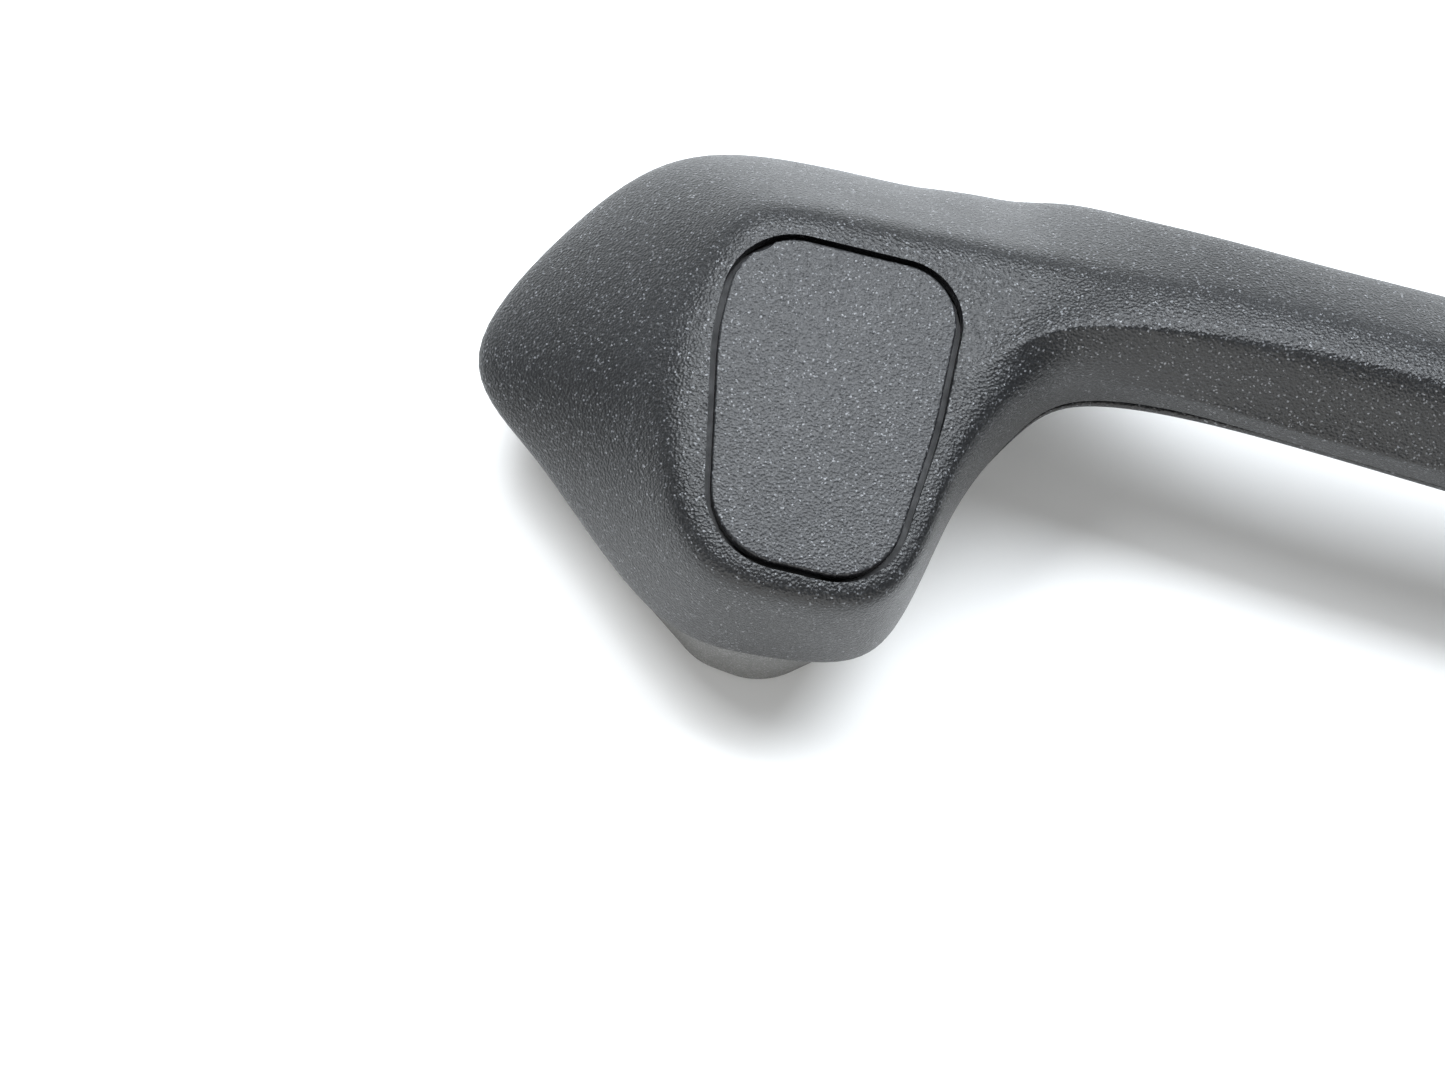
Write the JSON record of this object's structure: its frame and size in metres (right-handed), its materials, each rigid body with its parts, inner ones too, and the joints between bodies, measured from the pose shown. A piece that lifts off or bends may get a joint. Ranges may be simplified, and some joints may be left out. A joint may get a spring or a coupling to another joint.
{
  "type": "car door pull handle",
  "caption": "Interior pull handle of a car door: a hollow grained grip on two angled pads with mounting spigots, a steel core, and a snap-in screw cover over the bolt in each pad.",
  "frame": {"origin": "on the ground under the middle of the handle, which stands on its two spigot feet", "axes": "X along the handle, +Y towards the side to which the grip bows, +Z away from the door"},
  "size_m": [0.2914, 0.0755, 0.0478],
  "materials": {
    "grained_plastic": "black, fine sparkling grain",
    "cover_plastic": "black, fine grain, a little smoother than the grip",
    "base_plastic": "black, fine grain",
    "inner_nylon": "plain moulded black nylon",
    "core_steel": "black dip-coated steel strip",
    "bolt_steel": "bright zinc plate",
    "screw_steel": "black phosphate"
  },
  "bodies": {
    "handle": {"grip_shell": "grained_plastic", "grip_back_cover": "grained_plastic", "left_mounting_base": "base_plastic", "right_mounting_base": "base_plastic", "left_screw_pocket": "inner_nylon", "right_screw_pocket": "inner_nylon", "steel_core": "core_steel", "left_mounting_bolt": "bolt_steel", "right_mounting_bolt": "bolt_steel", "left_bolt_washer": "bolt_steel", "right_bolt_washer": "bolt_steel", "left_compression_sleeve": "bolt_steel", "right_compression_sleeve": "bolt_steel", "left_base_screw_1": "screw_steel", "left_base_screw_2": "screw_steel", "right_base_screw_1": "screw_steel", "right_base_screw_2": "screw_steel", "back_cover_screw_1": "screw_steel", "back_cover_screw_2": "screw_steel", "back_cover_screw_3": "screw_steel", "back_cover_screw_4": "screw_steel"},
    "left_cover": {"left_screw_cover": "cover_plastic"},
    "right_cover": {"right_screw_cover": "cover_plastic"}
  },
  "joints": [
    {"name": "left_cover_lift", "type": "slide", "parent": "handle", "child": "left_cover", "axis": [0, 0, 1], "range_m": [0, 0.03]},
    {"name": "right_cover_lift", "type": "slide", "parent": "handle", "child": "right_cover", "axis": [0, 0, 1], "range_m": [0, 0.03]}
  ]
}
